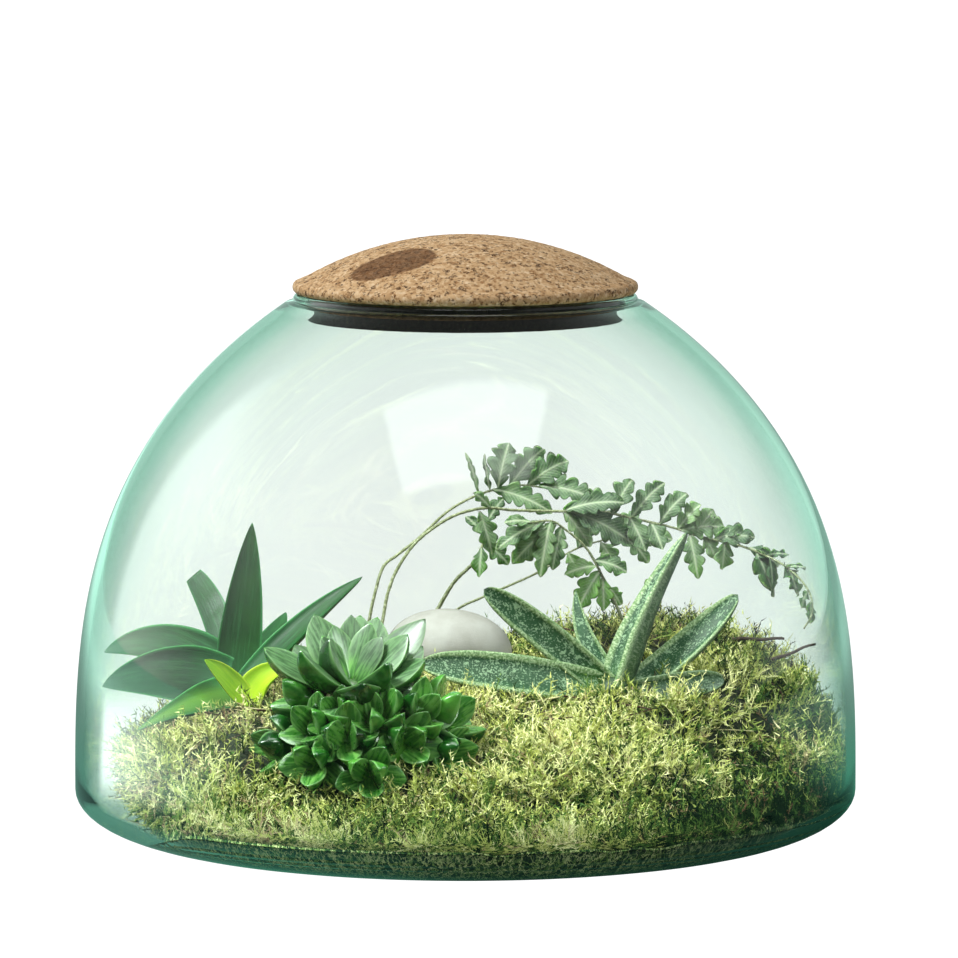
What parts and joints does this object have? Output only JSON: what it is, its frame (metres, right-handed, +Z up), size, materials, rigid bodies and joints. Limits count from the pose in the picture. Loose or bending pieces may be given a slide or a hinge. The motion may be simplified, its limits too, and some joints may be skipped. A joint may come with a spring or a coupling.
{
  "type": "glass plant terrarium",
  "caption": "Low glass dome terrarium closed by a cork lid, planted with moss mats, rosette succulents and an arching fern round a smooth stone.",
  "frame": {"origin": "middle of the foot, on the surface that the vessel stands on", "axes": "+Z up through the lid, -Y towards the front with the small crowded succulent, +X to the right"},
  "size_m": [0.28, 0.28, 0.2145],
  "materials": {
    "glass": "gloss",
    "cork": "matte",
    "soil": "matte",
    "moss": "matte",
    "stone": "matte",
    "haworthia": "satin",
    "aloe": "satin",
    "young_leaf": "satin",
    "gasteria": "satin",
    "fern": "matte",
    "twig": "matte"
  },
  "bodies": {
    "root": {"glass_vessel": "glass", "cork_lid": "cork", "soil_bed": "soil", "moss_right": "moss", "moss_back": "moss", "moss_left": "moss", "moss_front": "moss", "moss_centre": "moss", "stone": "stone", "haworthia_head": "haworthia", "haworthia_offsets": "haworthia", "aloe_rosette": "aloe", "aloe_young_leaves": "young_leaf", "gasteria_rosette": "gasteria", "fern_frond_upper": "fern", "fern_frond_long": "fern", "fern_frond_inner": "fern", "fern_frond_rear": "fern", "fern_frond_low": "fern", "seedling": "young_leaf", "twig_long": "twig", "twig_short": "twig"}
  },
  "joints": []
}
